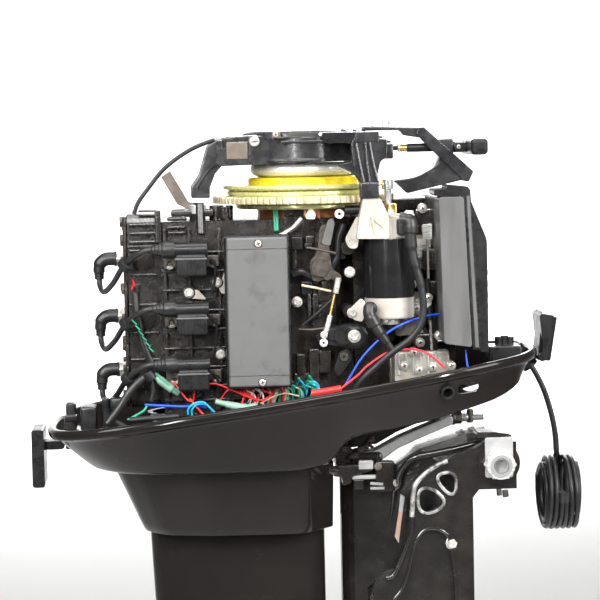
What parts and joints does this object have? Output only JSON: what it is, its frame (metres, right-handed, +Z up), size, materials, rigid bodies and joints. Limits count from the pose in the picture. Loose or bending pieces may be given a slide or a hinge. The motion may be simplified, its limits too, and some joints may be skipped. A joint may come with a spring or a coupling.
{
  "type": "outboard motor",
  "caption": "Long-shaft outboard motor without its top cover: transom brackets that tilt and steer, a multi-cylinder powerhead on a tray, leg, gearcase and propeller.",
  "frame": {"origin": "top aft corner of the boat's transom, midway between the two clamp brackets: their flat faces lie on X = 0 and the undersides of their hooks on Z = 0", "axes": "+X forward, into the boat; +Y to port; +Z up, along the crankshaft and drive shaft with the motor tilted down and steered straight ahead"},
  "size_m": [0.713, 0.355, 1.3225],
  "materials": {
    "gloss_black_paint": "gloss",
    "black_casting": "satin",
    "black_alloy": "satin",
    "black_plastic": "satin",
    "grey_plastic": "matt",
    "rubber": "matt",
    "cast_alloy": "cast",
    "bright_steel": "plated",
    "yellow_zinc": "yellow zinc plated",
    "zinc_anode": "cast",
    "windings": "lacquered"
  },
  "bodies": {
    "clamp_brackets": {"clamp_bracket_starboard": "black_casting", "clamp_bracket_port": "black_casting", "tilt_tube": "bright_steel", "tilt_tube_nut": "bright_steel", "trim_pin": "bright_steel"},
    "swivel": {"swivel_bracket": "black_casting"},
    "motor": {"steering_arm": "cast_alloy", "upper_mount": "black_casting", "lower_mount_clamp": "black_casting", "drive_shaft_housing": "gloss_black_paint", "apron": "gloss_black_paint", "bottom_cowl": "gloss_black_paint", "gearcase": "gloss_black_paint", "trim_tab": "zinc_anode", "water_pump_housing": "grey_plastic", "bearing_carrier": "cast_alloy", "cylinder_block": "black_casting", "cylinder_head": "black_casting", "exhaust_cover": "black_casting", "intake_manifold": "black_casting", "carburettor_top": "cast_alloy", "carburettor_middle": "cast_alloy", "carburettor_bottom": "cast_alloy", "silencer_box": "grey_plastic", "silencer_cover": "black_plastic", "ignition_coil_top": "black_plastic", "ignition_coil_middle": "black_plastic", "ignition_coil_bottom": "black_plastic", "cdi_unit": "grey_plastic", "starter_motor": "gloss_black_paint", "stator": "windings", "recoil_housing": "black_plastic", "handle_bracket": "black_plastic", "starter_rope": "rubber", "spark_plug_lead_top": "rubber", "spark_plug_lead_middle": "rubber", "spark_plug_lead_bottom": "rubber", "battery_cable": "rubber", "battery_cable_coil": "rubber"},
    "crank": {"flywheel": "yellow_zinc", "ring_gear": "yellow_zinc", "starter_cup": "bright_steel", "crankshaft": "bright_steel", "drive_shaft": "bright_steel", "impeller": "rubber"},
    "forward_gear_wheel": {"forward_gear": "bright_steel"},
    "reverse_gear_wheel": {"reverse_gear": "bright_steel"},
    "propeller_set": {"propeller": "black_alloy", "propeller_shaft": "bright_steel", "propeller_nut": "bright_steel"},
    "clutch": {"clutch_dog": "bright_steel"},
    "shift": {"shift_rod": "bright_steel"},
    "pinion": {"starter_pinion": "bright_steel"},
    "sheave": {"recoil_sheave": "black_plastic"},
    "handle": {"recoil_handle": "black_plastic"},
    "advance": {"advance_lever": "bright_steel"},
    "throttle": {"throttle_lever": "black_plastic"},
    "latch_front": {"cowl_latch_front": "black_plastic"},
    "latch_rear": {"cowl_latch_rear": "black_plastic"}
  },
  "joints": [
    {"name": "tilt", "type": "hinge", "parent": "clamp_brackets", "child": "swivel", "pos_m": [0.033, 0, 0.0335], "axis": [0, 1, 0], "range_deg": [0, 66], "deforming": ["battery_cable", "battery_cable_coil"]},
    {"name": "steer", "type": "hinge", "parent": "swivel", "child": "motor", "pos_m": [-0.128, 0, 0], "axis": [0, 0, 1], "range_deg": [-35, 35], "deforming": ["battery_cable", "battery_cable_coil"]},
    {"name": "crank_spin", "type": "hinge", "parent": "motor", "child": "crank", "pos_m": [-0.2, 0, 0], "axis": [0, 0, 1], "continuous": true},
    {"name": "forward_gear_spin", "type": "hinge", "parent": "motor", "child": "forward_gear_wheel", "pos_m": [-0.17, 0, -0.685], "axis": [1, 0, 0], "continuous": true},
    {"name": "reverse_gear_spin", "type": "hinge", "parent": "motor", "child": "reverse_gear_wheel", "pos_m": [-0.23, 0, -0.685], "axis": [1, 0, 0], "continuous": true},
    {"name": "propeller_spin", "type": "hinge", "parent": "motor", "child": "propeller_set", "pos_m": [-0.4, 0, -0.685], "axis": [1, 0, 0], "continuous": true},
    {"name": "clutch_slide", "type": "slide", "parent": "propeller_set", "child": "clutch", "axis": [1, 0, 0], "range_m": [-0.0042, 0.0042]},
    {"name": "shift_turn", "type": "hinge", "parent": "motor", "child": "shift", "pos_m": [-0.236, 0, 0], "axis": [0, 0, 1], "range_deg": [-20, 20]},
    {"name": "pinion_slide", "type": "slide", "parent": "motor", "child": "pinion", "axis": [0, 0, 1], "range_m": [0, 0.0155], "stiffness_N_per_m": 60},
    {"name": "recoil_pull", "type": "slide", "parent": "motor", "child": "handle", "axis": [1, 0, 0], "range_m": [0, 0.75], "stiffness_N_per_m": 25, "springref_m": -0.6, "deforming": ["starter_rope"]},
    {"name": "sheave_turn", "type": "hinge", "parent": "motor", "child": "sheave", "pos_m": [-0.2, 0, 0], "axis": [0, 0, 1], "range_deg": [0, 870]},
    {"name": "throttle_turn", "type": "hinge", "parent": "motor", "child": "throttle", "pos_m": [-0.158, 0, 0.198], "axis": [0, 1, 0], "range_deg": [0, 35]},
    {"name": "advance_turn", "type": "hinge", "parent": "motor", "child": "advance", "pos_m": [-0.186, 0, 0.284], "axis": [0, 1, 0], "range_deg": [-25, 0]},
    {"name": "latch_front_turn", "type": "hinge", "parent": "motor", "child": "latch_front", "pos_m": [0.106, 0, 0.156], "axis": [0, 1, 0], "range_deg": [0, 60]},
    {"name": "latch_rear_turn", "type": "hinge", "parent": "motor", "child": "latch_rear", "pos_m": [-0.5225, 0, 0.056], "axis": [0, 1, 0], "range_deg": [-40, 0]}
  ],
  "couplings": [
    {"joint": "forward_gear_spin", "follows": "crank_spin", "ratio": -0.42857},
    {"joint": "reverse_gear_spin", "follows": "crank_spin", "ratio": 0.42857},
    {"joint": "clutch_slide", "follows": "shift_turn", "m_per_rad": 0.012},
    {"joint": "sheave_turn", "follows": "recoil_pull", "rad_per_m": 20},
    {"joint": "advance_turn", "follows": "throttle_turn", "ratio": -0.7}
  ]
}
